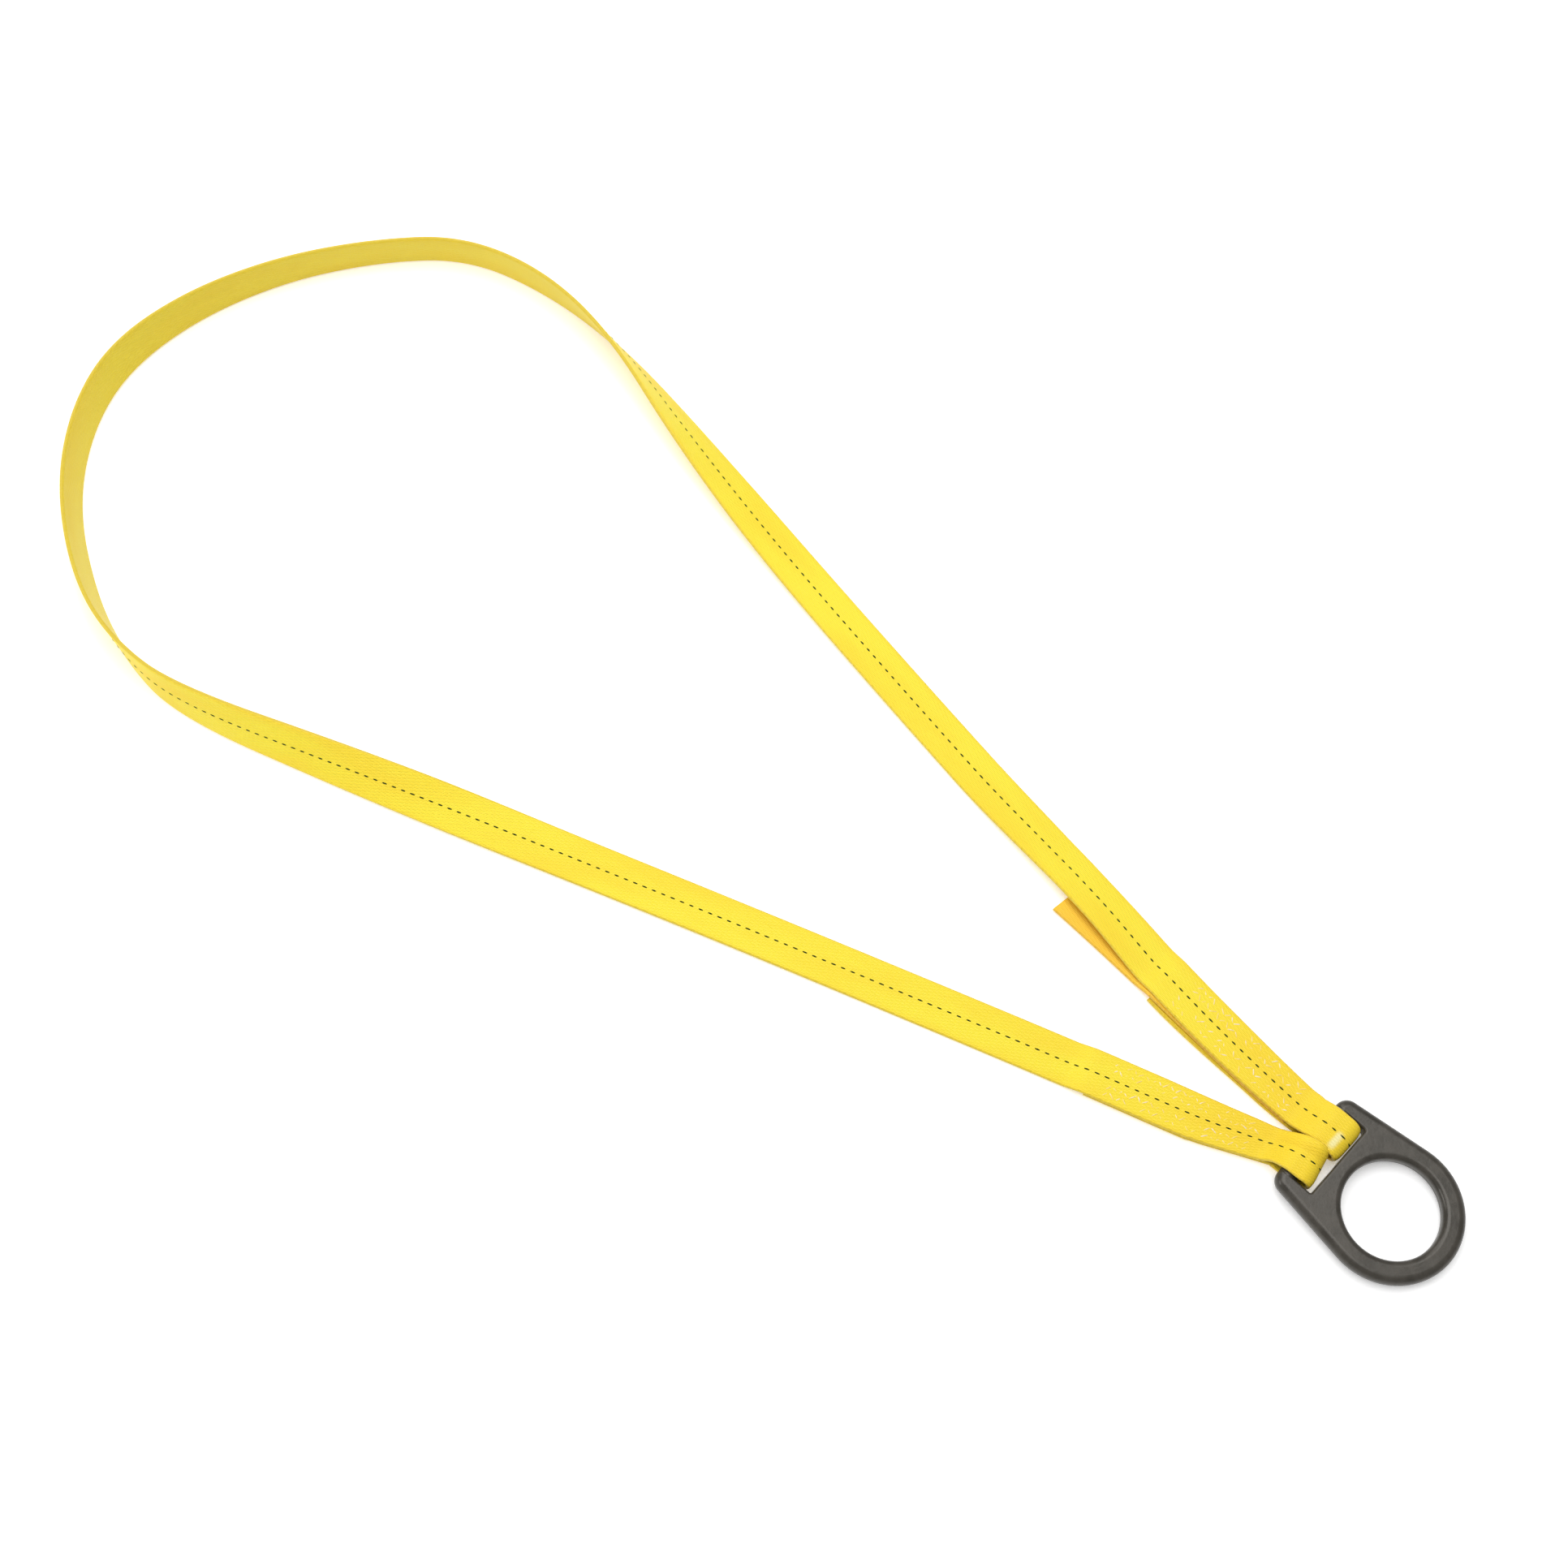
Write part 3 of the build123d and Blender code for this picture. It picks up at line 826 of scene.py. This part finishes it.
def tracer_finish():
    """Dark olive yarn with fine fibres."""
    finish, tree, shader = new_finish("tracer")
    place = tree.nodes.new("ShaderNodeTexCoord").outputs["Object"]
    tone = noise_at(tree, place, 900.0, 3.0)
    tree.links.new(mixed(tree, tone, DARK_OLIVE, OLIVE), shader.inputs["Base Color"])
    bumped(tree, shader, noise_at(tree, place, 5000.0), 0.00006)
    shader.inputs["Roughness"].default_value = 0.7
    shader.inputs["Specular IOR Level"].default_value = 0.2
    return finish


def forged_finish():
    """Dark, warm forged steel under a satin coat: mottled, finely dimpled, with darker marks."""
    finish, tree, shader = new_finish("forged_steel")
    place = tree.nodes.new("ShaderNodeTexCoord").outputs["Object"]
    mottle = noise_at(tree, place, 90.0, 5.0, 0.6)
    scale_marks = noise_at(tree, place, 420.0, 4.0, 0.6)
    grain = noise_at(tree, place, 2200.0, 2.0)
    colour = mixed(tree, between(tree, mottle, 0.3, 0.7), DARK_STEEL, WARM_STEEL)
    colour = mixed(tree, between(tree, scale_marks, 0.55, 0.75, 0.0, 0.35), colour, SCALE_MARKS)
    tree.links.new(colour, shader.inputs["Base Color"])
    height = maths(tree, "MULTIPLY_ADD", scale_marks, 0.6, maths(tree, "MULTIPLY", mottle, 1.2))
    height = maths(tree, "MULTIPLY_ADD", grain, 0.16, height)
    bumped(tree, shader, height, 0.00012)
    tree.links.new(between(tree, mottle, 0.3, 0.7, 0.28, 0.40), shader.inputs["Roughness"])
    shader.inputs["Metallic"].default_value = 0.25
    shader.inputs["Specular IOR Level"].default_value = 0.5
    return finish


# --- The strap

make_camera()

yellow = webbing_finish("webbing", BODY_YELLOW, GOLDEN_DYE_AND_SHADE, INNER_FACE_SHADE_YELLOW, SELVEDGE_SHADE_YELLOW)
# the wear strip's finish: the yellow webbing with painted shade, where it lies under the leg
shaded_strip_finish = webbing_finish("strip_webbing", STRIP_SHADE_ORANGE, STRIP_DYE_AND_DEEPER_SHADE, STRIP_DYE_AND_DEEPER_SHADE, STRIP_SELVEDGE_SHADE_ORANGE)

band = webbing("webbing_band", band_point, band_stations(), yellow)
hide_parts("strap_web")

strip_stations = spread(STRIP_START, strip_end, LEG_STEP / 2)
strip = webbing("wear_strip_webbing", strip_point, strip_stations, shaded_strip_finish)
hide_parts("wear_strip")

thread = thread_finish()
upper_thread = stitching("thread_upper_leg", True, thread)
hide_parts("stitching_upper")
lower_thread = stitching("thread_lower_leg", False, thread)
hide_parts("stitching_lower")
tracer_yarn = tracer(tracer_finish())

route = [band_point(along, 0) for along in reached]

ring = frame["nodes"]["d_ring"]
ring_finish = forged_finish()
for holder in ring.material_slots:
    holder.material = ring_finish

make_stage()
